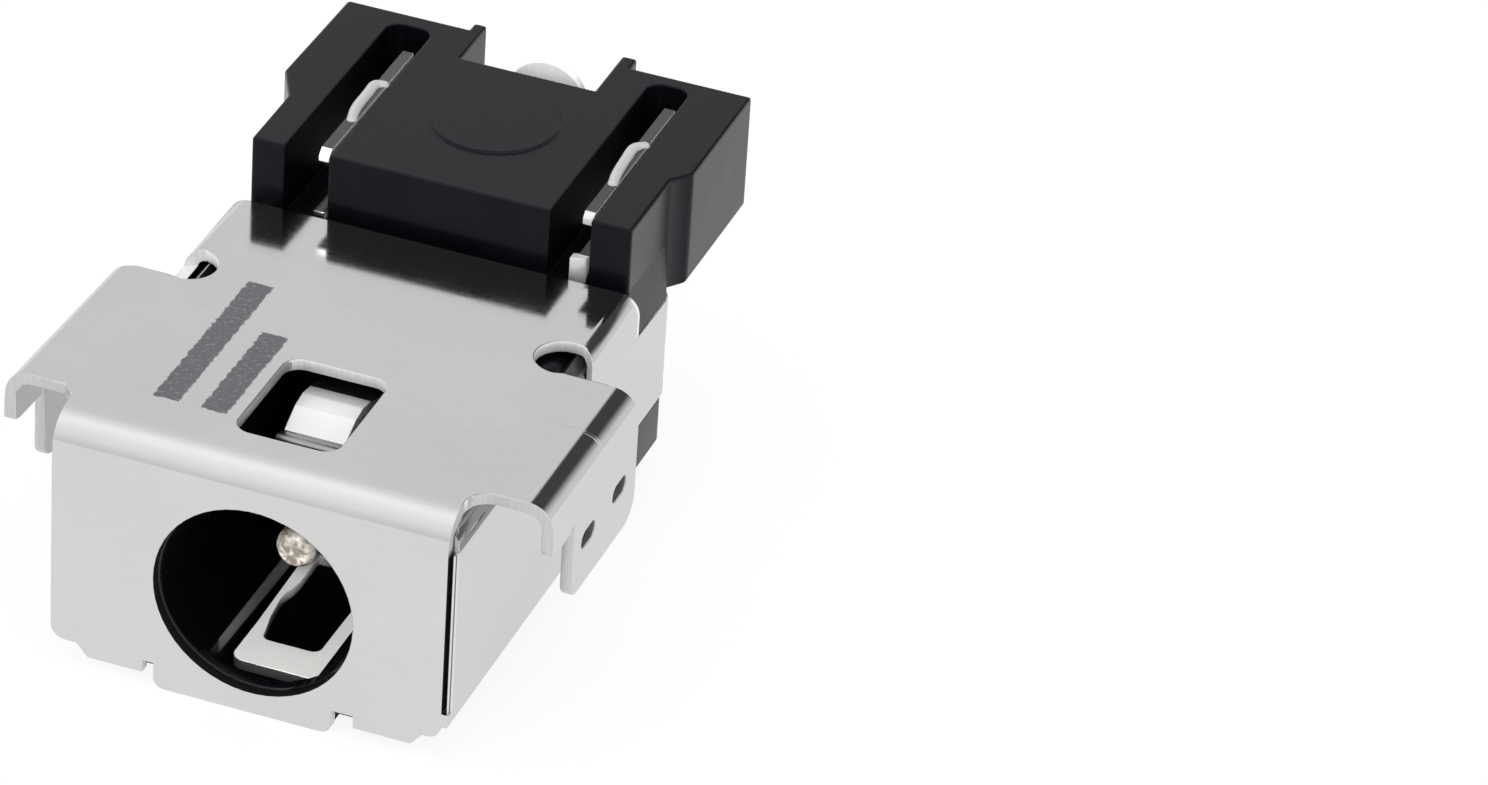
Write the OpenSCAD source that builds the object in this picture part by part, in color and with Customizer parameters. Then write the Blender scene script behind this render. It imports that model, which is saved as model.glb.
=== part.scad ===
// Shielded panel-edge dc barrel jack, drawn in millimetres.
// X runs across the jack, +Y runs back into it, +Z is up. The origin is the centre of the
// barrel opening on the outside of the front plate.

/* [Barrel opening] */
// Diameter of the round opening in the front plate
hole_d = 5.8; // [5.0:0.05:6.0]
// Diameter of the moulded bore behind the opening
bore_d = 5.7; // [4.8:0.05:5.9]
// Depth of the bore from the front plate
bore_depth = 9.5; // [8.5:0.1:10]
// Diameter of the centre pin
pin_d = 1.2; // [0.8:0.05:1.65]
// Distance of the pin tip behind the front plate
pin_setback = 2.75; // [1.5:0.1:4.0]

/* [Shield] */
// Thickness of the folded sheet
sheet_t = 0.35; // [0.25:0.01:0.4]
// Height of the shield's top above the barrel axis
top_z = 4.27; // [4.2:0.01:4.4]
// Outer radius of the fold between top and front plate
front_bend_r = 1.0; // [0.7:0.05:1.2]
// Left edge of the front plate
front_left_x = -5.92; // [-6.0:0.01:-5.7]
// Right edge of the front plate
front_right_x = 5.55; // [5.3:0.01:5.6]
// Outer face of the right wing's side
wing_right = 7.85; // [7.4:0.05:8.4]
// Outer face of the left wing's side at its rear end
wing_left = 7.9; // [7.4:0.05:8.4]
// Angle by which the left wing's side opens towards the front
wing_splay = 2; // [0:0.5:3]
// Front edge of the wings
wing_front_y = 1.7; // [1.5:0.05:2.2]
// Rear edge of the wings
wing_rear_y = 8.0; // [7.2:0.1:8.6]
// Outer radius of the wing folds
wing_bend_r = 0.78; // [0.5:0.01:0.9]
// Front edge of the right wing's long leg
leg_front_right = 3.3; // [2.6:0.05:4.0]
// Front edge of the left wing's long leg
leg_front_left = 3.5; // [2.6:0.05:4.0]
// Bottom of the long legs
leg_bottom_z = 0.35; // [-1.0:0.05:1.0]
// Rear edge of the shield's top
top_rear_y = 12.56; // [12.0:0.05:12.7]
// Diameter of the relief holes at the rear corners of the wings
relief_d = 1.6; // [1.2:0.1:1.8]
// Width of the window in the top
window_w = 2.98; // [2.4:0.01:3.4]
// Sideways position of the window's middle
window_x = 0.07; // [-0.2:0.01:0.2]
// Front edge of the window
window_front_y = 1.65; // [1.45:0.05:2.2]
// Rear edge of the window
window_rear_y = 5.58; // [5.0:0.05:6.2]

/* [Rear block] */
// Height of the rear block's top above the barrel axis
block_top_z = 6.02; // [5.6:0.05:6.6]
// Underside of the rear block, where a circuit board's top would lie
block_bottom_z = 2.47; // [2.2:0.05:2.8]
// Rear face of the rear block
block_rear_y = 21.3; // [20.9:0.1:22.4]
// Height of the round mark raised on top of the rear block
mark_h = 0.07; // [0.04:0.01:0.15]

/* [Contacts] */
// Thickness of the contact strips
strip_t = 0.32; // [0.25:0.01:0.34]
// Width of the upper spring contact
upper_w = 1.8; // [1.4:0.05:2.2]
// Width of the lower spring contact
lower_w = 2.58; // [2.4:0.01:2.7]
// Length of the solder tails below the rear block
tail_len = 2.6; // [1.6:0.1:3.4]

/* [Hidden] */
$fn = 64;
eps = 0.001;
t = sheet_t;
zi = top_z - t;                 // underside of the shield's top
rb = front_bend_r;
flap_right = 5.75;              // outer faces of the two side flaps
flap_left = -5.91;
rear_right = flap_right + t;    // outer faces of the rear side folds
rear_left = flap_left - t;
rear_bend_r = t + 0.25;
flap_bottom_z = -2.35;
flap_top_z = block_bottom_z - 0.15; // top of the flaps beside the rear block
curl_r = 1.0;                   // outer radius of the curled top of each flap
curl_z = top_z - 1.15;
hook_r = 0.62;                  // outer radius of the flaps' hooks round the rear
tab_bottom_z = -3.57;
body_right = flap_right - t;
body_left = flap_left + t;
body_rear_y = 16.0;
body_top_z = curl_z + curl_r - t;
blade_top_z = block_top_z + 0.02;
wing_short_z = block_bottom_z + 0.18;

// ---- drawing helpers -------------------------------------------------------------------

// a prism drawn in the X,Z plane and run along +Y from y0 to y1
module run_y(y0, y1) {
    translate([0, y1, 0]) rotate([90, 0, 0]) linear_extrude(y1 - y0) children();
}

// a prism drawn in the Y,Z plane and run along +X from x0 to x1
module run_x(x0, x1) {
    translate([x0, 0, 0]) rotate([90, 0, 90]) linear_extrude(x1 - x0) children();
}

// a prism drawn in the X,Y plane and run along +Z from z0 to z1
module run_z(z0, z1) {
    translate([0, 0, z0]) linear_extrude(z1 - z0) children();
}

// a box between two corners
module box(a, b) {
    translate(a) cube([b[0] - a[0], b[1] - a[1], b[2] - a[2]]);
}

// a rectangle between two corners
module rect(a, b) {
    translate(a) square([b[0] - a[0], b[1] - a[1]]);
}

// a rectangle with four round corners
module round_rect(a, b, r) {
    rect([a[0] + r, a[1]], [b[0] - r, b[1]]);
    rect([a[0], a[1] + r], [b[0], b[1] - r]);
    for (x = [a[0] + r, b[0] - r], y = [a[1] + r, b[1] - r]) translate([x, y]) circle(r);
}

// a ring sector about a centre, from angle a0 to a1 (at most 90 degrees apart)
module sector(c, ro, ri, a0, a1) {
    far = 3 * ro;
    am = (a0 + a1) / 2;
    translate(c) intersection() {
        difference() {
            circle(ro);
            circle(ri);
        }
        polygon([[0, 0], far * [cos(a0), sin(a0)], far * [cos(am), sin(am)], far * [cos(a1), sin(a1)]]);
    }
}

// a strip of width w between two points, with round ends
module link(a, b, w) {
    d = b - a;
    translate(a) rotate(atan2(d[1], d[0])) translate([0, -w / 2]) square([norm(d), w]);
    translate(a) circle(w / 2);
    translate(b) circle(w / 2);
}

// the small piece that turns a square inner corner at c into a round one; sx, sy say on which
// side of c the material lies
module fillet(c, r, sx, sy) {
    translate(c) difference() {
        rect([min(0, sx * r), min(0, sy * r)], [max(0, sx * r), max(0, sy * r)]);
        translate([sx * r, sy * r]) circle(r);
    }
}

// ---- shield: one folded sheet ----------------------------------------------------------

// outline of the front plate with its stepped lower edge, in X,Z
module front_outline() {
    c = 0.45;
    difference() {
        union() {
            rect([front_left_x, -2.35], [front_right_x, top_z - rb]);
            rect([front_left_x + c, -2.8], [front_right_x - c, -2.3]);
            translate([front_left_x + c, -2.35]) circle(c);
            translate([front_right_x - c, -2.35]) circle(c);
            // side tabs
            polygon([[-5.15, -2.79], [-4.8, -3.18], [-3.16, -3.18], [-3.16, -2.79]]);
            polygon([[3.0, -2.79], [3.0, -3.18], [4.7, -3.18], [5.02, -2.79]]);
            // centre tab
            rect([-2.86, tab_bottom_z + 0.32], [2.38, -2.79]);
            rect([-2.54, tab_bottom_z], [2.06, -2.79]);
            translate([-2.54, tab_bottom_z + 0.32]) circle(0.32);
            translate([2.06, tab_bottom_z + 0.32]) circle(0.32);
        }
        circle(d = hole_d);
    }
}

// outline of the flat part of the top, in X,Y
module top_outline() {
    wr = wing_right - wing_bend_r;
    wl = wing_left - wing_bend_r;
    splay = (wing_rear_y - wing_front_y) * tan(wing_splay);
    difference() {
        union() {
            rect([front_left_x, rb], [front_right_x, wing_front_y + 0.2]);
            rect([rear_left + rear_bend_r, wing_front_y], [rear_right - rear_bend_r, top_rear_y]);
            polygon([[-wl - splay, wing_front_y], [wr, wing_front_y], [wr, wing_rear_y], [-wl, wing_rear_y]]);
            // the sheet widens from the front fold to the wings through a small curve
            difference() {
                rect([front_right_x - 0.1, rb], [front_right_x + 0.7, wing_front_y + 0.1]);
                translate([front_right_x + 0.7, rb]) circle(0.7);
            }
            difference() {
                rect([front_left_x - 0.7, rb], [front_left_x + 0.1, wing_front_y + 0.1]);
                translate([front_left_x - 0.7, rb]) circle(0.7);
            }
        }
        // window
        round_rect([window_x - window_w / 2, window_front_y], [window_x + window_w / 2, window_rear_y], 0.5);
        // relief holes at the rear corners of the wings
        translate([5.3, wing_rear_y + relief_d / 2 - 0.04]) circle(d = relief_d);
        translate([-5.82, wing_rear_y + relief_d / 2 - 0.04]) circle(d = relief_d);
    }
}

// side view of a wing's turned-down side, in Y,Z; y0 is the front edge of its leg
module wing_side(y0) {
    z1 = top_z - wing_bend_r;
    difference() {
        union() {
            rect([wing_front_y, wing_short_z + 0.25], [wing_rear_y, z1]);
            rect([wing_front_y + 0.25, wing_short_z], [y0 + 0.1, z1]);
            translate([wing_front_y + 0.25, wing_short_z + 0.25]) circle(0.25);
            // long leg with a small front and a larger rear lower corner
            rect([y0, leg_bottom_z + 0.45], [wing_rear_y - 0.8, z1]);
            rect([y0, leg_bottom_z + 0.8], [wing_rear_y, z1]);
            rect([y0 + 0.45, leg_bottom_z], [wing_rear_y - 0.8, z1]);
            translate([y0 + 0.45, leg_bottom_z + 0.45]) circle(0.45);
            translate([wing_rear_y - 0.8, leg_bottom_z + 0.8]) circle(0.8);
        }
        // the step between the short part and the leg
        rect([y0 - 0.2, wing_short_z - 0.1], [y0, wing_short_z + 0.12]);
    }
}

// one wing fold and its side; xo is its outer face, side = 1 right, -1 left
module wing(xo, side, y0) {
    xc = xo - side * wing_bend_r;
    run_y(wing_front_y, wing_rear_y)
        sector([xc, top_z - wing_bend_r], wing_bend_r, wing_bend_r - t, side > 0 ? 0 : 90, side > 0 ? 90 : 180);
    difference() {
        run_x(min(xo, xo - side * t), max(xo, xo - side * t)) wing_side(y0);
        // two oval holes near the lower edge of the right leg; the left leg is plain
        if (side > 0)
            for (c = [[4.45, 1.81], [6.74, 1.89]])
                run_x(xo - t - 0.1, xo + 0.1)
                    link([c[0] - 0.25, c[1]], [c[0] + 0.25, c[1]], 0.52);
    }
}

// one rear side fold; xo is its outer face
module rear_side(xo, side) {
    xc = xo - side * rear_bend_r;
    difference() {
        union() {
            run_y(wing_rear_y, top_rear_y)
                sector([xc, top_z - rear_bend_r], rear_bend_r, rear_bend_r - t, side > 0 ? 0 : 90, side > 0 ? 90 : 180);
            run_x(min(xo, xo - side * t), max(xo, xo - side * t)) {
                rect([wing_rear_y - 0.6, wing_short_z], [top_rear_y, top_z - rear_bend_r]);
            }
        }
        translate([side > 0 ? 5.3 : -5.82, wing_rear_y + relief_d / 2 - 0.04, side > 0 ? 3.3 : 3.7]) cylinder(d = relief_d, h = 3);
    }
}

// side flap: comes back from the lower corner of the front plate, curls in at its top and
// hooks round the rear of the moulding; xo is its outer face
module flap(xo, side) {
    x0 = min(xo, xo - side * t);
    x1 = max(xo, xo - side * t);
    xc = xo - side * curl_r;
    hook = hook_r;
    gap_y = t + 0.1;
    // flat side
    run_x(x0, x1) {
        rect([gap_y, flap_bottom_z], [12.4, curl_z]);
        rect([12.3, flap_bottom_z], [13.85, flap_top_z]);
        rect([13.8, -0.93], [body_rear_y + t - hook, flap_top_z]);
    }
    // curled top, cut back where the front fold passes
    difference() {
        run_y(side > 0 ? 0.3 : gap_y, 12.4)
            sector([xc, curl_z], curl_r, curl_r - t, side > 0 ? 0 : 130, side > 0 ? 50 : 180);
        if (side > 0)
            run_x(4, front_right_x + 0.05) difference() {
                rect([0, curl_z - 0.1], [rb, top_z]);
                translate([rb, top_z - rb]) circle(rb - t - 0.05);
            }
        else
            box([-7, 0, 3.5], [-4, rb + 0.05, top_z]);
    }
    // hook round the rear
    run_z(-0.93, flap_top_z) {
        translate([xo - side * hook, body_rear_y + t - hook]) intersection() {
            difference() {
                circle(hook);
                circle(hook - t);
            }
            rect([min(0, side * hook), 0], [max(0, side * hook), hook]);
        }
        rect([min(xo - side * hook, xo - side * 1.35), body_rear_y], [max(xo - side * hook, xo - side * 1.35), body_rear_y + t]);
    }
    // bridge to the lower corner of the front plate
    if (side > 0) {
        // the outer skin of the fold runs up beside the slit
        run_z(flap_bottom_z, curl_z) difference() {
            rect([front_right_x + 0.12, 0], [xo, gap_y + 0.2]);
            fillet([xo, 0], 0.3, -1, 1);
        }
        run_z(flap_bottom_z, -1.95) rect([front_right_x - 0.1, 0], [front_right_x + 0.2, t + 0.2]);
    } else
        box([xo, 0.1, flap_bottom_z], [xo + t, t + 0.3, -1.95]);
}

module shield() {
    color([0.78, 0.78, 0.77]) {
        union() {
                run_z(zi, top_z) top_outline();
                run_x(front_left_x, front_right_x) sector([rb, top_z - rb], rb, rb - t, 90, 180);
                run_y(0, t) front_outline();
                wing(wing_right, 1, leg_front_right);
                translate([-wing_left, wing_rear_y, 0]) rotate([0, 0, wing_splay == 0 ? 0 : -wing_splay])
                    translate([wing_left, -wing_rear_y, 0]) wing(-wing_left, -1, leg_front_left);
                rear_side(rear_right, 1);
                rear_side(rear_left, -1);
                flap(flap_right, 1);
                flap(flap_left, -1);
        }
    }
}

// ---- housing: one moulding -------------------------------------------------------------

// the part of the moulding inside the shield
module body() {
    difference() {
        body_block();
        // rear corners rounded for the hooks of the side flaps
        run_z(-0.95, flap_top_z) {
            fillet([body_right, body_rear_y], hook_r - t, -1, -1);
            fillet([body_left, body_rear_y], hook_r - t, 1, -1);
        }
    }
    // the sides lean out to come flush with the tops of the side flaps
    difference() {
        run_y(13.0, body_rear_y) {
            polygon([[5.2, 4.0], [5.55, 4.0], [flap_right - 0.02, flap_top_z], [5.2, flap_top_z]]);
            polygon([[-5.4, 4.0], [-5.85, 4.0], [flap_left + 0.02, flap_top_z], [-5.4, flap_top_z]]);
        }
        run_z(flap_top_z - 0.5, 4.5) {
            fillet([flap_right - 0.02, body_rear_y], 0.35, -1, -1);
            fillet([flap_left + 0.02, body_rear_y], 0.35, 1, -1);
        }
    }
    // the lower rear corners stand out flush with the side flaps
    run_z(-2.45, -0.95) difference() {
        rect([flap_left + 0.03, 13.9], [flap_right - 0.03, body_rear_y]);
        fillet([flap_right - 0.03, body_rear_y], 0.35, -1, -1);
        fillet([flap_left + 0.03, body_rear_y], 0.35, 1, -1);
    }
}

module body_block() {
    intersection() {
        // side view
        run_x(-7, 7) {
            rect([rb, -3.5], [body_rear_y, zi]);
            rect([t, -3.5], [rb + 0.1, zi - (rb - t)]);
            translate([rb, zi - (rb - t)]) circle(rb - t);
        }
        // end view with a stepped underside
        run_y(0, 20) {
            rect([body_left, -2.55], [body_right, curl_z]);
            rect([body_left + curl_r - t, -2.6], [body_right - (curl_r - t), body_top_z]);
            translate([body_right - (curl_r - t), curl_z]) circle(curl_r - t);
            translate([body_left + (curl_r - t), curl_z]) circle(curl_r - t);
            rect([-4.4, 0], [4.36, zi]);
            rect([-4.8, -3.12], [4.65, 0]);
            rect([-2.75, -3.5], [2.3, 0]);
        }
    }
}

// plan of the rear block, in X,Y
module block_plan() {
    // arms beside the two slots, widening towards the rear
    polygon([[-5.85, 13.0], [5.55, 13.0], [5.55, 16.0], [6.0, 16.6], [6.0, block_rear_y],
        [-6.44, block_rear_y], [-6.5, 16.85], [-5.86, 15.6]]);
    // ears beside the rear notch
    rect([-2.67, block_rear_y - 0.1], [-2.26, block_rear_y + 0.4]);
    rect([1.83, block_rear_y - 0.1], [2.3, block_rear_y + 0.55]);
}

module block() {
    difference() {
        run_z(block_bottom_z, block_top_z) block_plan();
        // open slots that hold the blades
        run_z(block_bottom_z - 1, block_top_z + 1) {
            rect([-4.84, 12.9], [-3.49, 20.25]);
            rect([-4.39, 12.9], [-3.94, 20.7]);
            translate([-4.39, 20.25]) circle(0.45);
            translate([-3.94, 20.25]) circle(0.45);
            rect([3.13, 12.9], [4.36, 20.37]);
            rect([3.58, 12.9], [3.91, 20.82]);
            translate([3.58, 20.37]) circle(0.45);
            translate([3.91, 20.37]) circle(0.45);
        }
        // rear notch
        run_z(block_bottom_z - 1, block_top_z + 1) rect([-2.27, 19.68], [1.84, block_rear_y + 2]);
    }
    // round mark raised on the top, with a sloping edge
    translate([-0.09, 16.9, block_top_z - 0.1]) cylinder(r = 1.9, h = 0.1);
    translate([-0.09, 16.9, block_top_z - eps]) cylinder(r1 = 1.9, r2 = 1.84, h = mark_h + eps);
}

// the spaces cut for the contacts and for the plug
module hollows() {
    // plug bore
    translate([0, bore_depth, 0]) rotate([90, 0, 0]) cylinder(d = bore_d, h = bore_depth + 1);
    // room above the bore for the upper spring, open to the window
    box([-1.9, 1.25, 0], [1.9, 9.3, zi + 1]);
    // channel below the bore for the lower spring
    box([-1.5, 0.75, -3.05 - strip_t], [1.68, 9.3, 0]);
}

module housing() {
    color([0.17, 0.17, 0.18]) {
        difference() {
            union() {
                body();
                block();
            }
            hollows();
            // room for the metal that passes through
            centre_pin_shape();
            pin_terminal_shape();
            upper_shape();
            lower_shape();
        }
    }
}

// ---- centre pin ------------------------------------------------------------------------

module centre_pin_shape() {
    // round pin with a bevelled tip, riveted to its terminal at the rear
    translate([0, 20.15, 0]) rotate([90, 0, 0]) cylinder(d = pin_d, h = 20.15 - pin_setback - 0.25);
    translate([0, pin_setback + 0.25 + eps, 0]) rotate([90, 0, 0])
        cylinder(r1 = pin_d / 2, r2 = pin_d / 2 - 0.16, h = 0.25);
    translate([0, 20.45, 0]) rotate([90, 0, 0]) cylinder(d = pin_d - 0.3, h = 0.5);
    translate([0, 20.6, 0]) rotate([90, 0, 0]) cylinder(r1 = pin_d / 2 - 0.15, r2 = pin_d / 2 + 0.1, h = 0.15);
}

module centre_pin() {
    color([0.80, 0.78, 0.74]) centre_pin_shape();
}

// ---- terminal plate behind the rear block ----------------------------------------------

module pin_terminal_shape() {
    difference() {
        union() {
            // domed top
            translate([0.2, 20.45, 5.06]) rotate([90, 0, 0]) cylinder(r = 1.17, h = 0.3);
            // shoulders and neck
            run_y(20.15, 20.45)
                polygon([[-0.95, 5.06], [1.35, 5.06], [1.35, 3.6], [0.83, 2.9], [0.83, 0], [-0.83, 0], [-0.83, 2.9], [-0.95, 3.6]]);
            // round end about the pin
            translate([0, 20.45, 0]) rotate([90, 0, 0]) cylinder(r = 0.85, h = 0.3);
        }
        translate([0, 21, 0]) rotate([90, 0, 0]) cylinder(d = pin_d - 0.3, h = 2);
    }
}

module pin_terminal() {
    color([0.82, 0.82, 0.82]) pin_terminal_shape();
}

// ---- upper contact: spring, blade and tail in one strip ----------------------------------

// raised, bowed rib on a blade's top edge; x is the blade's middle and d its bow
module blade_ridge(x, d) {
    w = 0.2;
    run_z(blade_top_z - 0.3, blade_top_z + 0.16) {
        link([x, 15.12], [x - 0.77 * d, 15.65], w);
        link([x - 0.77 * d, 15.65], [x - d, 16.5], w);
        link([x - d, 16.5], [x - d, 17.05], w);
        link([x - d, 17.05], [x + 0.06, 17.33], w);
    }
}

module upper_shape() {
    zs = 2.97 - strip_t / 2;
    w = upper_w;
    // spring: lip, crease, hump and root, with its strip on the mid line
    run_x(-w / 2 + 0.02, w / 2 + 0.02) {
        link([3.45, zs + 0.22], [3.95, zs], strip_t);
        link([3.95, zs], [4.75, zs + 0.42], strip_t);
        link([4.75, zs + 0.42], [5.2, zs + 0.5], strip_t);
        link([5.2, zs + 0.5], [5.7, zs + 0.42], strip_t);
        link([5.7, zs + 0.42], [7.4, zs - 0.02], strip_t);
        link([7.4, zs - 0.02], [9.0, zs + 0.18], strip_t);
        link([9.0, zs + 0.18], [9.6, zs + 0.18], strip_t);
    }
    // crosswise strip and fold to the blade
    z1 = zs + 0.18 + strip_t / 2;
    xo = 4.32;
    box([-w / 2 + 0.02, 9.6 - 0.2, z1 - strip_t], [w / 2 + 0.02, 12.2, z1]);
    box([0, 10.3, z1 - strip_t], [xo - 0.45, 12.2, z1]);
    run_y(10.3, 12.2) sector([xo - 0.45, z1 - strip_t + 0.45], 0.45, 0.45 - strip_t, 270, 360);
    // upright blade
    run_x(xo - strip_t, xo) {
        rect([10.3, z1 - strip_t + 0.45], [12.2, 3.77]);
        rect([11.3, z1 - strip_t + 0.45], [17.2, 3.77]);
        rect([14.9, 3.6], [19.6, blade_top_z]);
        polygon([[13.25, 5.68], [15, 5.68], [15, blade_top_z], [13.4, blade_top_z], [13.25, blade_top_z - 0.15]]);
        rect([13.1, 3.6], [15, 4.8]);
        // solder tail
        rect([17.2, block_bottom_z - tail_len + 0.35], [18.6, 3.7]);
        rect([17.55, block_bottom_z - tail_len], [18.25, 3.7]);
        translate([17.55, block_bottom_z - tail_len + 0.35]) circle(0.35);
        translate([18.25, block_bottom_z - tail_len + 0.35]) circle(0.35);
    }
    blade_ridge(xo - strip_t / 2, 0.13);
    // curved foot at the front of the blade
    run_z(3.95, 4.78) {
        translate([xo - 0.5, 13.45]) intersection() {
            difference() {
                circle(0.6);
                circle(0.3);
            }
            rect([0, -0.6], [0.6, 0]);
        }
    }
}

module upper_contact() {
    color([0.86, 0.85, 0.82]) upper_shape();
}

// ---- lower contact: spring, blade and tail in one strip ----------------------------------

module lower_shape() {
    z1 = -3.05;
    z0 = z1 - strip_t;
    xo = -3.88;
    difference() {
        run_z(z0, z1) {
            rect([-lower_w / 2 + 0.03, 1.9], [lower_w / 2 + 0.03, 11.8]);
            rect([-lower_w / 2 + 0.43, 1.5], [lower_w / 2 - 0.05, 2.2]);
            rect([lower_w / 2 - 0.3, 1.58], [lower_w / 2 + 0.03, 2.2]);
            translate([-lower_w / 2 + 0.43, 1.9]) circle(0.4);
            translate([lower_w / 2 - 0.05, 1.58]) circle(0.08);
            polygon([[-lower_w / 2 + 0.03, 3.4], [-lower_w / 2 - 0.05, 7.0], [-lower_w / 2 - 0.05, 11.8],
                [0, 11.8], [0, 3.4]]);
            rect([xo + 0.45, 9.8], [0, 11.8]);
        }
        // open slot in the middle of the spring
        run_z(z0 - 1, z1 + 1) {
            polygon([[-0.85, 2.97], [0.86, 2.97], [0.9, 7.1], [-0.98, 7.1],
                [-0.95, 5.7], [-1.02, 5.3], [-1.11, 4.95], [-1.11, 4.6], [-1.02, 3.8]]);
            rect([-0.6, 2.72], [0.61, 3.0]);
            translate([-0.6, 2.97]) circle(0.25);
            translate([0.61, 2.97]) circle(0.25);
        }
    }
    run_y(9.8, 11.8) sector([xo + 0.45, z0 + 0.45], 0.45, 0.45 - strip_t, 180, 270);
    // upright blade
    run_x(xo, xo + strip_t) {
        rect([9.8, z0 + 0.45], [11.8, 3.7]);
        rect([10.6, 2.0], [17.2, 3.77]);
        rect([14.9, 3.6], [19.3, blade_top_z]);
        polygon([[13.15, 5.7], [15, 5.7], [15, blade_top_z], [13.35, blade_top_z], [13.15, blade_top_z - 0.18]]);
        rect([13.1, 3.6], [15, 4.22]);
        rect([12.9, 3.94], [13.4, 4.22]);
        // solder tail
        rect([17.2, block_bottom_z - tail_len + 0.35], [18.6, 3.7]);
        rect([17.55, block_bottom_z - tail_len], [18.25, 3.7]);
        translate([17.55, block_bottom_z - tail_len + 0.35]) circle(0.35);
        translate([18.25, block_bottom_z - tail_len + 0.35]) circle(0.35);
    }
    blade_ridge(xo + strip_t / 2, 0.13);
}

module lower_contact() {
    color([0.86, 0.85, 0.82]) lower_shape();
}

shield();
housing();
centre_pin();
pin_terminal();
upper_contact();
lower_contact();
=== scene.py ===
"""Looks for the shielded dc barrel jack. Everything is in metres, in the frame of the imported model."""
import math

import bmesh
import bpy
import numpy as np
from mathutils import Matrix, Vector
from mathutils.bvhtree import BVHTree


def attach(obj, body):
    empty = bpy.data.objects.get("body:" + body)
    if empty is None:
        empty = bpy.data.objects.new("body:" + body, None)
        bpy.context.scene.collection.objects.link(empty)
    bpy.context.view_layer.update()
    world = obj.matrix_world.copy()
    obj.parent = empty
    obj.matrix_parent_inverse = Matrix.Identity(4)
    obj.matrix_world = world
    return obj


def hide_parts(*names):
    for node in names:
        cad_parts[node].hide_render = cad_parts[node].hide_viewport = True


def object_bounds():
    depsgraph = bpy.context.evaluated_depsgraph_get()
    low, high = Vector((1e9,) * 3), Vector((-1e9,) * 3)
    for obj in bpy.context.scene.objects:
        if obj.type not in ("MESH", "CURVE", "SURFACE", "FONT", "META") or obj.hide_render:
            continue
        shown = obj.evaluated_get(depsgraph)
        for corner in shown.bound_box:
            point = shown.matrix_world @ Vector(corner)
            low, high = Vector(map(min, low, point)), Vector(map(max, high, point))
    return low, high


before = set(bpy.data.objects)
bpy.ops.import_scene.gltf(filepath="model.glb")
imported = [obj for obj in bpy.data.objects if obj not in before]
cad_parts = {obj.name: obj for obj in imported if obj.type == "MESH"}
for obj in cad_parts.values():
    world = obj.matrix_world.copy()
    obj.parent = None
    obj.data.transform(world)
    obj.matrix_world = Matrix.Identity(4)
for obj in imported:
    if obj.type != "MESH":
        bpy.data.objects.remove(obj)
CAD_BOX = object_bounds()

MM = 0.001
scene = bpy.context.scene
scene.view_settings.view_transform = "Standard"
scene.view_settings.look = "None"
scene.view_settings.exposure = 0.0
scene.view_settings.gamma = 1.0


# ---- camera: calibrated on the photograph ------------------------------------------------
def make_camera():
    az, el, roll = 0.319354, 0.569688, 0.069930
    focal, dist = 7582.9, 207.145
    tx, ty, width, height = 341.33, 453.48, 1488, 785
    n = Vector((math.sin(az) * math.cos(el), -math.cos(az) * math.cos(el), math.sin(el)))
    right = Vector((math.cos(az), math.sin(az), 0.0))
    up = n.cross(right)
    if up.z < 0:
        up = -up
    r = right * math.cos(roll) + up * math.sin(roll)
    u = -right * math.sin(roll) + up * math.cos(roll)
    a = (tx - width / 2) * dist / focal
    b = -(ty - height / 2) * dist / focal
    place = Vector((0.0, 6.0, 1.27)) - r * a - u * b + n * dist
    data = bpy.data.cameras.new("camera")
    data.sensor_width = 36.0
    data.lens = focal * 36.0 / width
    data.clip_start, data.clip_end = 0.01, 10.0
    cam = bpy.data.objects.new("camera", data)
    scene.collection.objects.link(cam)
    m = Matrix((r, u, n)).transposed().to_4x4()
    m.translation = place * MM
    cam.matrix_world = m
    scene.camera = cam
    return cam


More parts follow.
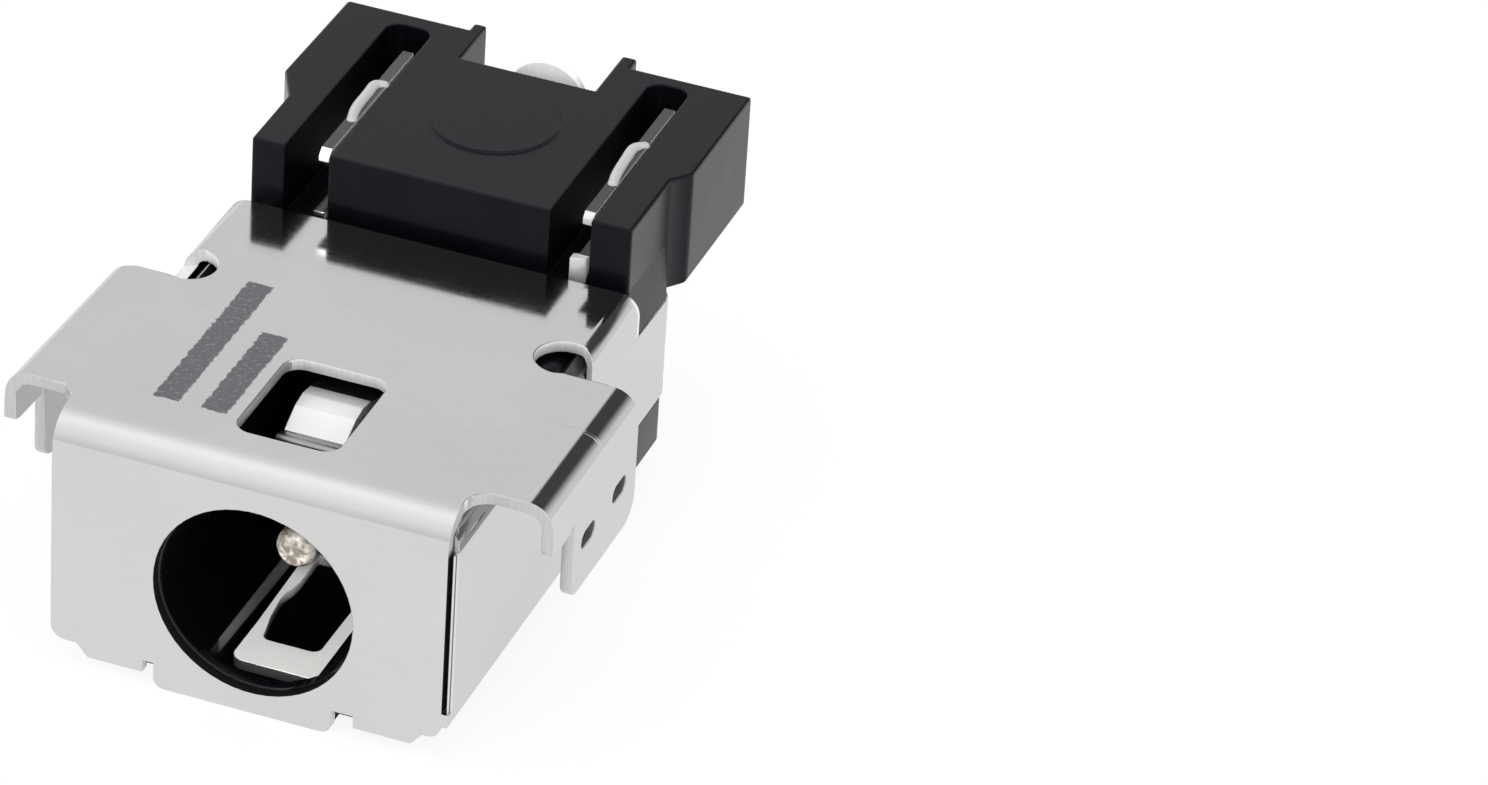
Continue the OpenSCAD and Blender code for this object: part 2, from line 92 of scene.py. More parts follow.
# ---- meshes ------------------------------------------------------------------------------
def refined(node, name, width, segments=2, sharp_deg=30.0, weld=0.004, leave=None, alter=None):
    """The CAD node's own surface with its coplanar triangles merged and its sharp edges rounded.
    Edges whose rounding would leave the surface are found by trying, and stay sharp."""
    base = bmesh.new()
    base.from_mesh(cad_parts[node].data)
    bmesh.ops.remove_doubles(base, verts=base.verts, dist=0.0005 * MM)
    if alter is not None:
        for v in base.verts:
            v.co = alter(v.co / MM) * MM
    tree = BVHTree.FromBMesh(base)
    bmesh.ops.dissolve_limit(base, angle_limit=math.radians(0.4), verts=base.verts, edges=base.edges)
    bmesh.ops.remove_doubles(base, verts=base.verts, dist=weld * MM)
    bmesh.ops.dissolve_degenerate(base, edges=base.edges, dist=0.0003 * MM)
    w = width * MM
    kept_sharp = []
    for attempt in range(14):
        bm = base.copy()
        sharp = []
        for e in bm.edges:
            if len(e.link_faces) != 2 or e.calc_face_angle(0) < math.radians(sharp_deg):
                continue
            mid = (e.verts[0].co + e.verts[1].co) / 2
            if leave is not None and leave(mid / MM):
                continue
            if any((q - mid).length < r or (q - e.verts[0].co).length < r or (q - e.verts[1].co).length < r
                   for q, r in kept_sharp):
                continue
            sharp.append(e)
        bmesh.ops.bevel(bm, geom=sharp, offset=w, offset_type="OFFSET", segments=segments,
                        profile=0.5, affect="EDGES", clamp_overlap=False, loop_slide=True)
        bad = []
        for v in bm.verts:
            near, normal, index, dist = tree.find_nearest(v.co)
            if dist is None or dist > 0.62 * w:
                bad.append(v)
        for f in bm.faces:
            if f.calc_area() < 1e-13:
                continue
            centre = f.calc_center_median()
            near, normal, index, dist = tree.find_nearest(centre)
            if len(f.verts) < 6 and dist < 0.05 * w and normal.dot(f.normal) < 0.2:
                bad.extend(f.verts)
        if not bad:
            break
        far = set(bad)
        new = []
        for v in far:
            for f in v.link_faces:
                for x in f.verts:
                    d = tree.find_nearest(x.co)[3]
                    if d is not None and d < 0.62 * w and (x.co - v.co).length < 14 * w:
                        new.append((x.co.copy(), 1.6 * w))
            if tree.find_nearest(v.co)[3] < 2 * w:
                new.append((v.co.copy(), 2.2 * w))
        if not new:
            break
        kept_sharp.extend(new)
        if attempt < 13:
            bm.free()
    print("refined", node, "tries", attempt + 1, "bad left", len(set(bad)), "sharp kept", len(kept_sharp))
    bmesh.ops.dissolve_degenerate(bm, edges=bm.edges, dist=0.0003 * MM)
    for f in bm.faces:
        f.smooth = True
    for e in bm.edges:
        e.smooth = len(e.link_faces) != 2 or e.calc_face_angle(0) < math.radians(40)
    mesh = bpy.data.meshes.new(name)
    bm.to_mesh(mesh)
    bm.free()
    base.free()
    ob = bpy.data.objects.new(name, mesh)
    scene.collection.objects.link(ob)
    wn = ob.modifiers.new("normals", "WEIGHTED_NORMAL")
    wn.mode = "FACE_AREA"
    wn.weight = 100
    wn.keep_sharp = True
    # the flat faces keep their own normal all over
    shown = ob.evaluated_get(bpy.context.evaluated_depsgraph_get())
    normals = [Vector(c.vector) for c in shown.data.corner_normals]
    for f in mesh.polygons:
        if f.area > 3 * MM * MM or len(f.vertices) > 4 and f.area > 0.04 * MM * MM:
            for i in f.loop_indices:
                normals[i] = f.normal.copy()
    ob.modifiers.remove(wn)
    mesh.normals_split_custom_set(normals)
    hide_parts(node)
    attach(ob, "root")
    return ob


# ---- materials ---------------------------------------------------------------------------
class Nodes:
    """A short way to write a node tree."""

    def __init__(self, name):
        self.mat = bpy.data.materials.new(name)
        self.mat.use_nodes = True
        self.tree = self.mat.node_tree
        self.tree.nodes.clear()
        self.out = self.add("ShaderNodeOutputMaterial")

    def add(self, kind, **values):
        nd = self.tree.nodes.new(kind)
        for k, v in values.items():
            if k.startswith("in_"):
                key = k[3:]
                nd.inputs[int(key) if key.isdigit() else key.replace("_", " ")].default_value = v
            else:
                setattr(nd, k, v)
        return nd

    def link(self, a, b):
        self.tree.links.new(a, b)

    def math(self, op, a, b=None, c=None, clamp=False):
        nd = self.add("ShaderNodeMath", operation=op, use_clamp=clamp)
        for i, v in enumerate((a, b, c)):
            if v is None:
                continue
            if hasattr(v, "links"):
                self.link(v, nd.inputs[i])
            else:
                nd.inputs[i].default_value = v
        return nd.outputs[0]

    def noise(self, vector, scale, detail=3.0, rough=0.5, distortion=0.0):
        nd = self.add("ShaderNodeTexNoise")
        nd.inputs["Scale"].default_value = scale
        nd.inputs["Detail"].default_value = detail
        nd.inputs["Roughness"].default_value = rough
        nd.inputs["Distortion"].default_value = distortion
        self.link(vector, nd.inputs["Vector"])
        return nd.outputs["Fac"]

    def spread(self, value, low, high, out_low, out_high, smooth=True):
        nd = self.add("ShaderNodeMapRange")
        nd.interpolation_type = "SMOOTHSTEP" if smooth else "LINEAR"
        for k, v in (("From Min", low), ("From Max", high), ("To Min", out_low), ("To Max", out_high)):
            nd.inputs[k].default_value = v
        self.link(value, nd.inputs["Value"])
        return nd.outputs[0]

    def mix(self, fac, a, b):
        nd = self.add("ShaderNodeMix", data_type="RGBA")
        self.link(fac, nd.inputs[0])
        for v, sock in ((a, nd.inputs[6]), (b, nd.inputs[7])):
            if hasattr(v, "links"):
                self.link(v, sock)
            else:
                sock.default_value = (*v, 1.0)
        return nd.outputs[2]

    def place(self, stretch=(1.0, 1.0, 1.0), turn=(0.0, 0.0, 0.0)):
        tc = self.add("ShaderNodeTexCoord")
        mp = self.add("ShaderNodeMapping")
        mp.inputs["Scale"].default_value = [s / MM for s in stretch]
        mp.inputs["Rotation"].default_value = turn
        self.link(tc.outputs["Object"], mp.inputs["Vector"])
        return mp.outputs["Vector"]

    def principled(self, **values):
        p = self.add("ShaderNodeBsdfPrincipled")
        for k, v in values.items():
            p.inputs[k.replace("_", " ")].default_value = v
        self.link(p.outputs[0], self.out.inputs[0])
        return p

    def round_edges(self, radius, samples=6):
        """Normals that are rounded off next to an edge, for the thin light line every real edge has."""
        nd = self.add("ShaderNodeBevel", samples=samples)
        nd.inputs["Radius"].default_value = radius * MM
        return nd.outputs["Normal"]

    def window(self, coord, low, high, soft):
        """1 between low and high, 0 outside, with soft ends."""
        up = self.spread(coord, low - soft, low + soft, 0.0, 1.0)
        down = self.spread(coord, high - soft, high + soft, 1.0, 0.0)
        return self.math("MULTIPLY", up, down)

    def bump(self, height, strength, distance, after=None):
        nd = self.add("ShaderNodeBump")
        nd.inputs["Strength"].default_value = strength
        nd.inputs["Distance"].default_value = distance * MM
        self.link(height, nd.inputs["Height"])
        if after is not None:
            self.link(after, nd.inputs["Normal"])
        return nd.outputs["Normal"]


def tin_plate(name, base=0.64, rough=0.10, ink=False, warm=0.0, metallic=1.0, edge=0.045, grainy=1.0,
              tint=0.88, crease=False):
    """Bright tin plate on rolled sheet: fine rolling lines and faint clouding. With ink, also two ink bars, painted
    shade on the curled flaps below the relief holes and a painted highlight along the rear end edge of the right
    side fold.
    """
    k = Nodes(name)
    pos = k.place()
    lines = k.place(stretch=(0.30, 7.0, 7.0))
    cloud = k.noise(pos, 0.22, 3.0, 0.55)
    fine = k.noise(pos, 10.0, 3.0, 0.6)
    grain = k.noise(lines, 2.4, 4.0, 0.65)
    tone = k.math("ADD", k.spread(cloud, 0.3, 0.7, -0.012, 0.012), k.spread(grain, 0.3, 0.7, -0.010, 0.010))
    value = k.math("ADD", tone, base)
    col = k.add("ShaderNodeCombineColor")
    k.link(value, col.inputs[0])
    k.link(k.math("MULTIPLY", value, 1.0 - 0.3 * warm), col.inputs[1])
    k.link(k.math("MULTIPLY", value, 0.995 - warm), col.inputs[2])
    r = k.math("ADD", k.spread(fine, 0.3, 0.7, -0.015, 0.02), k.spread(cloud, 0.35, 0.65, -0.015, 0.02))
    r = k.math("ADD", r, k.spread(grain, 0.3, 0.7, -0.02, 0.02))
    r = k.math("ADD", r, rough)
    p = k.principled(Metallic=metallic, IOR=1.5, Specular_Tint=(tint, tint, tint, 1.0))
    n = k.round_edges(edge)
    if crease:
        # a faint pressed line across the right wing
        sep = k.add("ShaderNodeSeparateXYZ")
        k.link(pos, sep.inputs[0])
        line = k.math("MULTIPLY", k.window(sep.outputs[1], 5.50, 5.60, 0.05), k.spread(sep.outputs[0], 4.2, 6.4, 0.0, 1.0))
        line = k.math("MULTIPLY", line, k.spread(sep.outputs[2], 3.92, 4.08, 0.0, 1.0))
        n = k.bump(line, 1.0, 0.0125, n)
    n = k.bump(grain, 0.05 * grainy, 0.004, n)
    n = k.bump(fine, 0.05 * grainy, 0.003, n)
    k.link(n, p.inputs["Normal"])
    k.link(r, p.inputs["Roughness"])
    if ink:
        # two plain bars of dull ink on the top, a little uneven as stamped ink is
        sep = k.add("ShaderNodeSeparateXYZ")
        k.link(pos, sep.inputs[0])
        x, y, z = sep.outputs
        rag = k.spread(k.noise(pos, 4.0, 2.0, 0.5), 0.3, 0.7, -0.03, 0.03)
        xr, yr = k.math("ADD", x, rag), k.math("ADD", y, rag)
        one = k.math("MULTIPLY", k.window(xr, -3.98, -3.22, 0.03), k.window(yr, 2.2, 8.6, 0.03))
        two = k.math("MULTIPLY", k.window(xr, -2.58, -1.82, 0.03), k.window(yr, 2.2, 6.4, 0.03))
        mask = k.math("MAXIMUM", one, two)
        mask = k.math("MULTIPLY", mask, k.spread(z, 4.2, 4.25, 0.0, 1.0))
        mask = k.math("MULTIPLY", mask, k.spread(k.noise(pos, 8.0, 2.0, 0.6), 0.25, 0.5, 0.75, 0.94))
        inked = k.mix(mask, col.outputs[0], (0.070, 0.066, 0.080))
        # the curled flaps below the relief holes lie in deep shade between plastic and sheet
        deep = k.math("MULTIPLY", k.window(y, 7.2, 10.0, 0.5), k.window(z, 2.9, 3.93, 0.02))
        deep = k.math("MULTIPLY", deep, k.spread(k.math("ABSOLUTE", x), 5.72, 5.62, 0.0, 0.93))
        # a painted highlight along the rear end edge of the right side fold
        painted_rim_light = k.math("MULTIPLY", k.spread(y, 12.34, 12.42, 0.0, 0.75), k.spread(x, 5.75, 5.90, 0.0, 1.0))
        painted_rim_light = k.math("MULTIPLY", painted_rim_light, k.spread(z, 3.0, 3.14, 0.0, 1.0))
        plain = k.mix(painted_rim_light, k.mix(deep, inked, (0.012, 0.012, 0.013)), (0.97, 0.97, 0.97))
        k.link(plain, p.inputs["Base Color"])
        k.link(k.math("SUBTRACT", 1.0, k.math("MAXIMUM", k.math("MAXIMUM", mask, deep), painted_rim_light)), p.inputs["Metallic"])
    else:
        k.link(col.outputs[0], p.inputs["Base Color"])
    return k.mat


def cut_metal(name, base=0.80, metallic=0.35, rough=0.5, edge=0.05, painted_rim_light=None, ior=1.5, painted_shade_taper=False,
              painted_dark_line=False, painted_light_lift=False):
    """Sheared edge of the sheet: paler and duller than its faces, with fine shear lines. Options paint light and
    shade by place: a painted highlight in the band next to the outer face, with the wall below painted darker to
    the given level; painted shade darkening the channel's wall towards its front end and lower edge; a fine dark
    line of painted reflection down the fold beside the slit; painted light on the slit's wall where the front fold
    begins."""
    k = Nodes(name)
    pos = k.place()
    shear = k.noise(k.place(stretch=(5.0, 5.0, 0.5)), 2.5, 3.0, 0.6)
    fine = k.noise(pos, 12.0, 3.0, 0.6)
    v = k.spread(shear, 0.3, 0.7, base * 0.95, base * 1.05)
    # painted highlight next to the outer face, painted shade on the wall below it
    if painted_rim_light is not None:
        sep = k.add("ShaderNodeSeparateXYZ")
        k.link(pos, sep.inputs[0])
        v = k.math("MULTIPLY", v, k.spread(sep.outputs[2], 4.02, 4.17, painted_rim_light, 1.0))
    # painted light on the slit's wall where the front fold begins
    if painted_light_lift:
        sep = k.add("ShaderNodeSeparateXYZ")
        k.link(pos, sep.inputs[0])
        v = k.math("ADD", v, k.spread(sep.outputs[2], 3.0, 3.35, 0.0, 0.5))
    # painted shade: the channel's wall darker towards its front end and lower edge
    if painted_shade_taper:
        sep = k.add("ShaderNodeSeparateXYZ")
        k.link(pos, sep.inputs[0])
        low = k.math("ADD", k.math("MULTIPLY", sep.outputs[1], 0.035), sep.outputs[2])
        v = k.math("MULTIPLY", v, k.spread(low, -2.83, -2.79, 0.03, 1.0))
        v = k.math("MULTIPLY", v, k.spread(sep.outputs[1], 1.25, 1.45, 0.03, 1.0))
    # a painted dark reflection line down the fold beside the slit
    if painted_dark_line:
        sep = k.add("ShaderNodeSeparateXYZ")
        k.link(pos, sep.inputs[0])
        v = k.math("MULTIPLY", v, k.math("SUBTRACT", 1.0, k.math("MULTIPLY", k.window(sep.outputs[1], 0.15, 0.19, 0.01), 0.9)))
    col = k.add("ShaderNodeCombineColor")
    for i in range(3):
        k.link(v, col.inputs[i])
    p = k.principled(Metallic=metallic, IOR=ior)
    k.link(col.outputs[0], p.inputs["Base Color"])
    k.link(k.spread(fine, 0.3, 0.7, rough - 0.03, rough + 0.03), p.inputs["Roughness"])
    k.link(k.bump(shear, 0.06, 0.003, k.round_edges(edge) if edge else None), p.inputs["Normal"])
    return k.mat


def worn_pin(name):
    """The pin: turned brass under a dull plating, mottled and warm where the plating is thin."""
    k = Nodes(name)
    pos = k.place()
    patch = k.noise(pos, 3.2, 4.0, 0.62, 0.6)
    fine = k.noise(pos, 14.0, 3.0, 0.6)
    warm = k.mix(k.spread(patch, 0.38, 0.62, 0.0, 1.0), (0.19, 0.165, 0.13), (0.66, 0.62, 0.56))
    p = k.principled(Metallic=0.25, IOR=1.45)
    k.link(warm, p.inputs["Base Color"])
    k.link(k.spread(fine, 0.3, 0.7, 0.42, 0.60), p.inputs["Roughness"])
    n = k.bump(patch, 0.5, 0.05, k.round_edges(0.05))
    k.link(k.bump(fine, 0.3, 0.012, n), p.inputs["Normal"])
    return k.mat


def plastic(name, rough=0.27, dark=1.0, ior=1.27, edge=0.09, flat_near=None):
    """Satin black moulded plastic with a fine eroded texture."""
    k = Nodes(name)
    pos = k.place()
    fine = k.noise(pos, 16.0, 4.0, 0.6)
    broad = k.noise(pos, 0.5, 2.0, 0.5)
    c = k.mix(k.spread(broad, 0.3, 0.7, 0.0, 1.0), (0.0034 * dark, 0.0038 * dark, 0.0052 * dark),
              (0.0046 * dark, 0.0051 * dark, 0.0070 * dark))
    p = k.principled(Metallic=0.0, IOR=ior, Specular_Tint=(0.90, 0.93, 1.0, 1.0))
    k.link(c, p.inputs["Base Color"])
    r = k.math("ADD", k.spread(fine, 0.3, 0.7, -0.03, 0.03), rough)
    k.link(k.math("ADD", r, k.spread(broad, 0.3, 0.7, -0.02, 0.02)), p.inputs["Roughness"])
    n = k.round_edges(edge)
    if flat_near is not None:
        # next to this point of the top the normals stay as they are
        x, y, r = flat_near
        sep = k.add("ShaderNodeSeparateXYZ")
        k.link(pos, sep.inputs[0])
        dx, dy = k.math("SUBTRACT", sep.outputs[0], x), k.math("SUBTRACT", sep.outputs[1], y)
        d = k.math("SQRT", k.math("ADD", k.math("MULTIPLY", dx, dx), k.math("MULTIPLY", dy, dy)))
        m = k.add("ShaderNodeMix", data_type="VECTOR")
        k.link(k.spread(d, r, r + 0.1, 1.0, 0.0), m.inputs[0])
        k.link(n, m.inputs[4])
        k.link(k.add("ShaderNodeNewGeometry").outputs["Normal"], m.inputs[5])
        n = m.outputs[1]
    k.link(k.bump(fine, 0.05, 0.004, n), p.inputs["Normal"])
    return k.mat


def set_materials(ob, first, *others):
    """others are (material, test) pairs; test(centre, normal, polygon) is given millimetres."""
    ob.data.materials.clear()
    for m in (first, *(m for m, _ in others)):
        ob.data.materials.append(m)
    for f in ob.data.polygons:
        f.material_index = 0
        for i, (m, test) in enumerate(others):
            if test(f.center / MM, f.normal, f):
                f.material_index = i + 1
                break


def cut_faces(node, limit):
    """A test for the sheared faces of a sheet: those behind which the metal is deeper than limit."""
    bm = bmesh.new()
    bm.from_mesh(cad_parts[node].data)
    tree = BVHTree.FromBMesh(bm)
    bm.free()

    def test(c, n, f):
        hit = tree.ray_cast((c - n * 0.002) * MM, -n, 50 * MM)
        return hit[3] is not None and hit[3] > limit * MM
    return test


def wire(name, points, radius, steps=10):
    """A round bar swept along a smoothed path, with domed ends; points are in millimetres."""
    pts = [Vector(p) for p in points]
    path = []
    for i in range(len(pts) - 1):
        p0, p1, p2, p3 = pts[max(i - 1, 0)], pts[i], pts[i + 1], pts[min(i + 2, len(pts) - 1)]
        for j in range(steps):
            t = j / steps
            path.append(0.5 * ((2 * p1) + (p2 - p0) * t + (2 * p0 - 5 * p1 + 4 * p2 - p3) * t * t
                               + (3 * p1 - p0 - 3 * p2 + p3) * t ** 3))
    path.append(pts[-1])
    bm = bmesh.new()
    rings = []
    sides = 20

    def ring(c, d, r):
        a = d.cross(Vector((0, 0, 1))).normalized()
        b = a.cross(d).normalized()
        return [bm.verts.new((c + (a * math.cos(w) + b * math.sin(w)) * r) * MM)
                for w in (2 * math.pi * i / sides for i in range(sides))]

    d0 = (path[1] - path[0]).normalized()
    d1 = (path[-1] - path[-2]).normalized()
    for a in (0.12, 0.4, 0.8, 1.2):
        rings.append(ring(path[0] - d0 * radius * math.cos(a), d0, radius * math.sin(a)))
    for i, c in enumerate(path):
        d = (path[min(i + 1, len(path) - 1)] - path[max(i - 1, 0)]).normalized()
        rings.append(ring(c, d, radius))
    for a in (1.2, 0.8, 0.4, 0.12):
        rings.append(ring(path[-1] + d1 * radius * math.cos(a), d1, radius * math.sin(a)))
    for r0, r1 in zip(rings, rings[1:]):
        for i in range(sides):
            j = (i + 1) % sides
            bm.faces.new((r0[i], r0[j], r1[j], r1[i]))
    bm.faces.new(rings[0][::-1])
    bm.faces.new(rings[-1])
    bmesh.ops.recalc_face_normals(bm, faces=bm.faces)
    for f in bm.faces:
        f.smooth = True
    mesh = bpy.data.meshes.new(name)
    bm.to_mesh(mesh)
    bm.free()
    ob = bpy.data.objects.new(name, mesh)
    scene.collection.objects.link(ob)
    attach(ob, "root")
    return ob


# ---- the pieces --------------------------------------------------------------------------
make_camera()



def flush(c):
    """The left wing's front edge is brought into one plane across its fold."""
    return Vector((c.x, 1.70, c.z)) if c.x < -5.9 and 1.6 < c.y < 1.8 else c


shield = refined("shield", "shield_sheet", 0.05, alter=flush,
                 leave=lambda c: abs(c.x) > 4.9 and c.y < 1.3 and (c.z > 2.7 or 5.3 < c.x < 5.9))
housing = refined("housing", "housing_moulding", 0.09,
                  leave=lambda c: c.z > 5.9 and abs(math.hypot(c.x + 0.09, c.y - 16.9) - 1.87) < 0.1
                  or 12.9 < c.y < 20.9 and (3.0 < c.x < 4.45 or -4.95 < c.x < -3.4))
pin = refined("centre_pin", "centre_pin_turned", 0.05)
terminal = refined("pin_terminal", "pin_terminal_plate", 0.04)


def without_rib(c):
    """The strips' square ribs are lowered, because round bars take their place below."""
    return Vector((c.x, c.y, min(c.z, 6.06)))


upper = refined("upper_contact", "upper_contact_strip", 0.03, alter=without_rib)
lower = refined("lower_contact", "lower_contact_strip", 0.03, alter=without_rib)

RIB_Z, RIB_R = 6.043, 0.155
rib_left = wire("left_blade_rib", [(-3.71, 15.10, RIB_Z - 0.06), (-3.83, 15.70, RIB_Z), (-3.85, 16.57, RIB_Z),
                                   (-3.85, 17.09, RIB_Z), (-3.64, 17.29, RIB_Z - 0.06)], RIB_R)
rib_right = wire("right_blade_rib", [(4.17, 15.09, RIB_Z - 0.06), (4.09, 15.60, RIB_Z), (4.03, 16.48, RIB_Z),
                                     (4.02, 17.07, RIB_Z), (4.23, 17.41, RIB_Z - 0.06)], RIB_R)

m_shield = tin_plate("tin_plate", ink=True, crease=True)
# the sheared edge: lighter next to the outer face and darker below, as painted highlight and painted shade
m_cut = cut_metal("sheared_edge", base=0.90, metallic=0.3, painted_rim_light=0.8)
m_relief = cut_metal("relief_hole_edge", base=0.90, metallic=0.3)
# a darker copy of the sheared edge for the window's left wall: painted shade
m_cut_painted_shade = cut_metal("sheared_edge_painted_shade", base=0.40, metallic=0.4, painted_rim_light=0.85)
# a darker copy of the sheared edge for faces turned to the front or down: painted shade
m_edge_painted_shade = cut_metal("sheet_edge_painted_shade", base=0.56, metallic=0.5, rough=0.35, edge=None)
# the fold beside the slit carries a painted dark reflection line
m_fold = cut_metal("fold_beside_slit", base=0.70, metallic=0.3, rough=0.4, edge=None, painted_dark_line=True)
# near black walls for the small holes in the wings' sides: painted shade
m_hole_painted_shade = cut_metal("small_hole_wall_painted_shade", base=0.13, metallic=0.2, rough=0.6)
# near black for the slit beside the front plate: painted shade, with painted light where the front fold begins; the
# front hole's wall takes the same near black
m_slit = cut_metal("deep_slit", base=0.012, metallic=0.0, rough=0.6, edge=None, ior=1.12, painted_light_lift=True)
m_deep = cut_metal("deep_shade", base=0.012, metallic=0.0, rough=0.6, edge=None, ior=1.12)
m_plastic = plastic("black_plastic", flat_near=(-0.09, 16.9, 2.15))
# a grey copy of the black plastic for the rounded mouth of the bore: painted highlight
m_ring_painted_highlight = cut_metal("bore_edge_painted_highlight", base=0.045, metallic=0.0, rough=0.4, edge=None, ior=1.25)
# a darker, less glossy copy of the black plastic inside the slots and the barrel: painted shade
m_inner_painted_shade = plastic("black_plastic_inner_painted_shade", rough=0.62, dark=0.45, ior=1.12)
# the barrel channel's black plastic wall painted grey where light falls on it and darker towards its front and
# lower edge: painted light and painted shade
m_channel_painted_light = cut_metal("channel_wall_painted_light_and_shade", base=0.21, metallic=0.0, rough=0.5, edge=None, ior=1.2, painted_shade_taper=True)
m_contact = tin_plate("plated_strip", base=0.95, rough=0.34, warm=0.0, metallic=0.3, edge=0.03)
m_behind = tin_plate("plated_strip_in_shade", base=0.03, rough=0.5, metallic=0.5, edge=0.03)
# a darker copy of the plated strip for the contacts' lips: painted shade
m_lip_painted_shade = tin_plate("plated_strip_lip_painted_shade", base=0.34, rough=0.25, warm=0.01, edge=0.05)
m_matte = tin_plate("matte_plated_strip", base=0.84, rough=0.42, warm=0.02, metallic=0.5, edge=0.04)
# a dark copy of the plated strip for the blades in the housing's slots: painted shade
m_blade_painted_shade = tin_plate("blade_metal_painted_shade", base=0.13, rough=0.40, warm=0.01, edge=0.03)
m_rib = tin_plate("blade_rib", base=0.62, rough=0.45, metallic=0.12, edge=0.03, grainy=3.0)
m_terminal = cut_metal("terminal_plate", base=0.95, metallic=0.0, rough=0.6, edge=None)
m_pin = worn_pin("pin_metal")

is_cut = cut_faces("shield", 0.45)
set_materials(shield, m_shield,
              (m_fold, lambda c, n, f: 5.655 < c.x < 5.76 and c.y < 0.31 and -2.2 < c.z < 3.13),
              (m_slit, lambda c, n, f: 5.42 < c.x < 5.66 and 0.02 < c.y < 0.95 and -2.2 < c.z < 3.45 and n.y > -0.9
               and n.z < 0.5),
              (m_deep, lambda c, n, f: 4.9 < abs(c.x) < 5.75 and 3.35 < c.z < 3.92 and abs(n.y) < 0.3 and 0.2 < n.z < 0.9
               and c.y > 1.2 and n.x * c.x < 0),
              (m_relief, lambda c, n, f: abs(n.z) < 0.3 and c.z > 3.3 and abs(c.y - 8.76) < 0.95
               and abs(math.hypot(c.x - (5.3 if c.x > 0 else -5.82), c.y - 8.76) - 0.82) < 0.05),
              (m_relief, lambda c, n, f: is_cut(c, n, f) and abs(c.x) > 4.3 and 7.85 < c.y < 9.8),
              (m_hole_painted_shade, lambda c, n, f: abs(c.x) > 7.3 and 1.4 < c.z < 2.3 and is_cut(c, n, f) and 4.0 < c.y < 7.4
               and abs(n.x) < 0.3),
              (m_slit, lambda c, n, f: 0.0 < c.y < 0.36 and math.hypot(c.x, c.z) < 2.95 and abs(n.y) < 0.5),
              (m_cut_painted_shade, lambda c, n, f: is_cut(c, n, f) and c.z > 3.9 and n.x > 0.75 and abs(c.x) < 2),
              (m_edge_painted_shade, lambda c, n, f: is_cut(c, n, f) and (n.y < -0.3 or n.z < -0.5) and (c.y < 3.6 or c.z < 3.4)),
              (m_cut, is_cut))
set_materials(housing, m_plastic,
              (m_ring_painted_highlight, lambda c, n, f: c.y < 0.40 and math.hypot(c.x, c.z) < 2.95 and -0.98 < n.y < -0.6),
              (m_inner_painted_shade, lambda c, n, f: (3.05 < c.x < 4.45 or -4.98 < c.x < -3.40) and 12.95 < c.y < 20.9
               and c.z < 5.93 and abs(n.z) < 0.6 and not (c.y > 19.9 and n.y < -0.25)),
              (m_channel_painted_light, lambda c, n, f: 0.7 < c.y < 9.5 and -1.6 < c.x < -1.4 and n.x > 0.9 and c.z < -1.5),
              (m_inner_painted_shade, lambda c, n, f: c.y > 0.6 and c.y < 10.5 and abs(c.x) < 2.86 and c.z < 3.8 and c.z > -3.45))
set_materials(pin, m_pin)
set_materials(terminal, m_terminal)
set_materials(upper, m_contact, (m_lip_painted_shade, lambda c, n, f: c.y < 3.98),
              (m_behind, lambda c, n, f: 5.68 < c.y < 9.6 and c.z < 3.6),
              (m_matte, lambda c, n, f: c.y < 13.6 and 3.9 < c.z < 4.9 or c.z > 5.7 and c.y < 13.45),
              (m_blade_painted_shade, lambda c, n, f: c.y > 12.9 and c.z > 3.9))
set_materials(lower, m_matte, (m_behind, lambda c, n, f: c.y < 2.1 and n.y < -0.4 and n.z < 0.6),
              (m_matte, lambda c, n, f: c.z > 5.7 and c.y < 13.4),
              (m_lip_painted_shade, lambda c, n, f: c.y < 13.6 and 3.9 < c.z < 4.3),
              (m_blade_painted_shade, lambda c, n, f: c.y > 12.9 and c.z > 3.9))
set_materials(rib_left, m_rib)
set_materials(rib_right, m_rib)


# ---- floor and light ---------------------------------------------------------------------
def make_floor():
    z = CAD_BOX[0].z
    bm = bmesh.new()
    bmesh.ops.create_grid(bm, x_segments=8, y_segments=8, size=1.5)
    mesh = bpy.data.meshes.new("floor")
    bm.to_mesh(mesh)
    bm.free()
    ob = bpy.data.objects.new("floor", mesh)
    ob.location = (0.0, 0.0, z)
    scene.collection.objects.link(ob)
    k = Nodes("floor")
    d = k.add("ShaderNodeBsdfDiffuse")
    d.inputs["Color"].default_value = (0.12, 0.12, 0.12, 1.0)
    e = k.add("ShaderNodeEmission")
    e.inputs["Color"].default_value = (1.0, 1.0, 1.0, 1.0)
    e.inputs["Strength"].default_value = 0.90
    a = k.add("ShaderNodeAddShader")
    k.link(d.outputs[0], a.inputs[0])
    k.link(e.outputs[0], a.inputs[1])
    k.link(a.outputs[0], k.out.inputs[0])
    ob.data.materials.append(k.mat)
    return ob


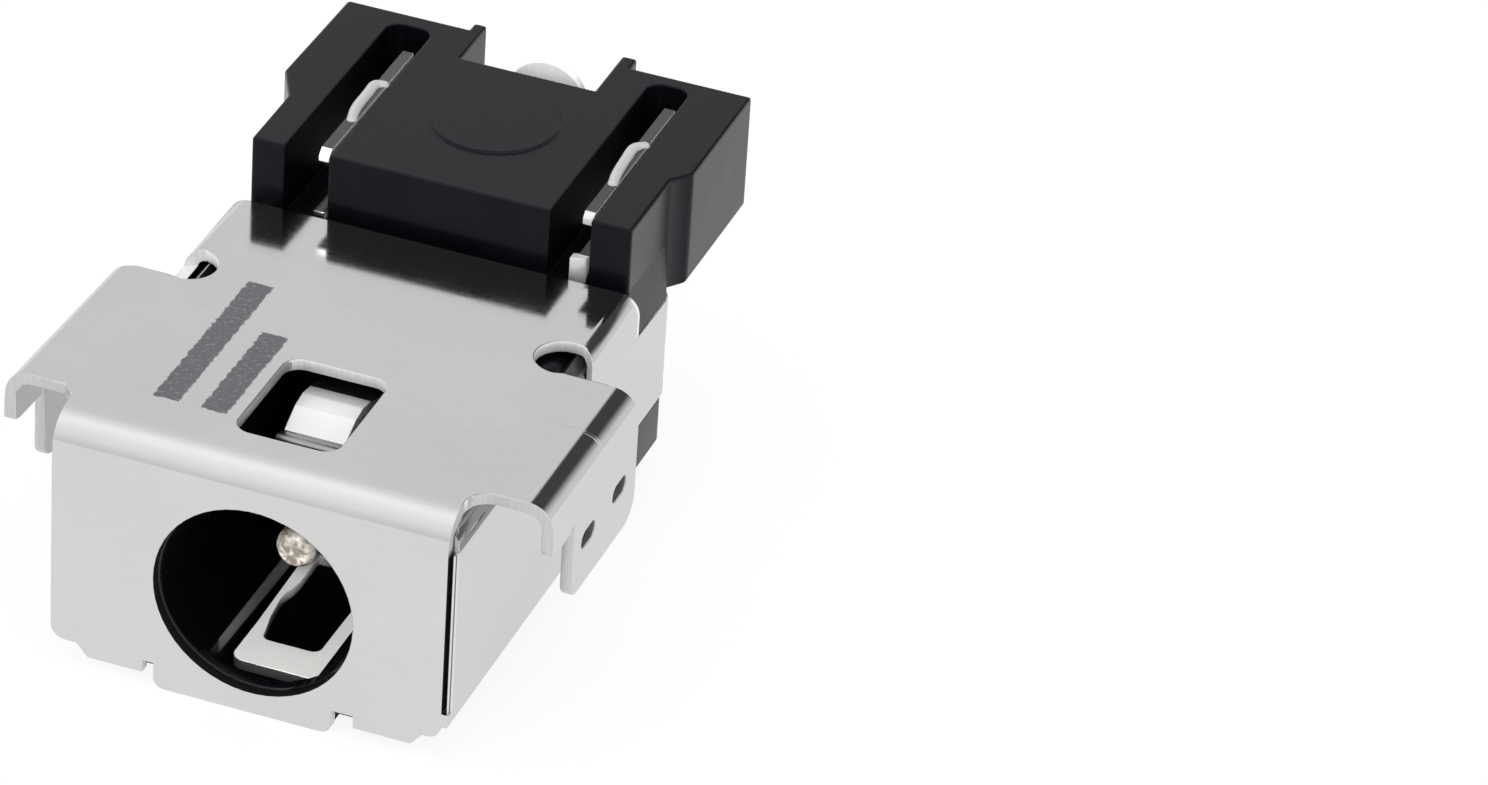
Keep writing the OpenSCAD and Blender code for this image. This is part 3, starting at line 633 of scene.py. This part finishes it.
def make_world():
    """A soft white studio: bright overhead, greyer towards the horizon, one dark flag behind on the right."""
    world = bpy.data.worlds.new("studio")
    scene.world = world
    world.use_nodes = True
    t = world.node_tree
    t.nodes.clear()

    def nd(kind):
        return t.nodes.new(kind)

    def m(op, a, b=None, clamp=False):
        x = nd("ShaderNodeMath")
        x.operation, x.use_clamp = op, clamp
        for i, v in enumerate((a, b)):
            if v is None:
                continue
            if hasattr(v, "links"):
                t.links.new(v, x.inputs[i])
            else:
                x.inputs[i].default_value = v
        return x.outputs[0]

    def step(v, lo, hi, a=0.0, b=1.0):
        x = nd("ShaderNodeMapRange")
        x.interpolation_type = "SMOOTHSTEP"
        for key, val in (("From Min", lo), ("From Max", hi), ("To Min", a), ("To Max", b)):
            x.inputs[key].default_value = val
        t.links.new(v, x.inputs["Value"])
        return x.outputs[0]

    tc = nd("ShaderNodeTexCoord")
    sep = nd("ShaderNodeSeparateXYZ")
    t.links.new(tc.outputs["Generated"], sep.inputs[0])
    x, y, z = sep.outputs
    # brightness goes by the angle from the front horizon (0) over the top (0.5) to the back (1)
    turn = m("DIVIDE", m("ARCTAN2", m("MAXIMUM", z, 0.0), m("MULTIPLY", y, -1.0)), math.pi)
    ramp = nd("ShaderNodeValToRGB")
    ramp.color_ramp.interpolation = "B_SPLINE"
    stops = [(0.0, 0.84), (0.05, 0.86), (0.144, 1.07), (0.256, 1.14), (0.34, 1.25), (0.42, 1.33), (0.48, 1.25),
             (0.56, 1.02), (0.64, 0.90), (0.75, 0.875), (0.86, 0.865), (1.0, 0.85)]
    el = ramp.color_ramp.elements
    while len(el) < len(stops):
        el.new(0.5)
    for e, (p, v) in zip(el, stops):
        e.position = p
        e.color = (v / 2, v / 2, v / 2, 1.0)
    t.links.new(turn, ramp.inputs[0])
    base = m("MULTIPLY", ramp.outputs[0], 2.0)
    inside = m("MULTIPLY", step(x, -0.235, -0.115), step(x, 0.34, 0.64, 1.0, 0.0))
    inside = m("MULTIPLY", inside, step(y, 0.45, 0.62))
    inside = m("MULTIPLY", inside, step(z, 0.12, 0.34))
    level = m("MULTIPLY", base, m("SUBTRACT", 1.0, m("MULTIPLY", inside, 0.92)))
    bg = nd("ShaderNodeBackground")
    t.links.new(level, bg.inputs["Strength"])
    bg.inputs["Color"].default_value = (1.0, 1.0, 1.0, 1.0)
    out = nd("ShaderNodeOutputWorld")
    t.links.new(bg.outputs[0], out.inputs[0])


def area_light(name, place, aim, size, energy, only=None):
    data = bpy.data.lights.new(name, "AREA")
    data.shape = "RECTANGLE"
    data.size, data.size_y = size, size
    data.energy = energy
    ob = bpy.data.objects.new(name, data)
    ob.location = place
    ob.rotation_euler = (Vector(aim) - Vector(place)).to_track_quat("-Z", "Y").to_euler()
    scene.collection.objects.link(ob)
    if only:
        group = bpy.data.collections.new(name + "_on")
        for x in only:
            group.objects.link(x)
        ob.light_linking.receiver_collection = group
    return ob


def make_lights():
    """One soft box overhead and one small light from the front for the metal inside the barrel."""
    soft = area_light("softbox", (-0.15, -0.1, 0.7), (0.0, 0.0, 0.0), 0.5, 0.25)
    soft.visible_glossy = False
    aim = Vector((0.0, 0.004, -0.002))
    az, el, far = math.radians(3.0), math.radians(42.0), 0.30
    place = aim + Vector((math.sin(az) * math.cos(el), -math.cos(az) * math.cos(el), math.sin(el))) * far
    area_light("barrel_light", place, aim, 0.03, 1.5, [lower, pin])
    area_light("terminal_light", (0.02, -0.12, 0.16), (0.0002, 0.0201, 0.0055), 0.06, 0.12, [terminal])


make_floor()
make_world()
make_lights()
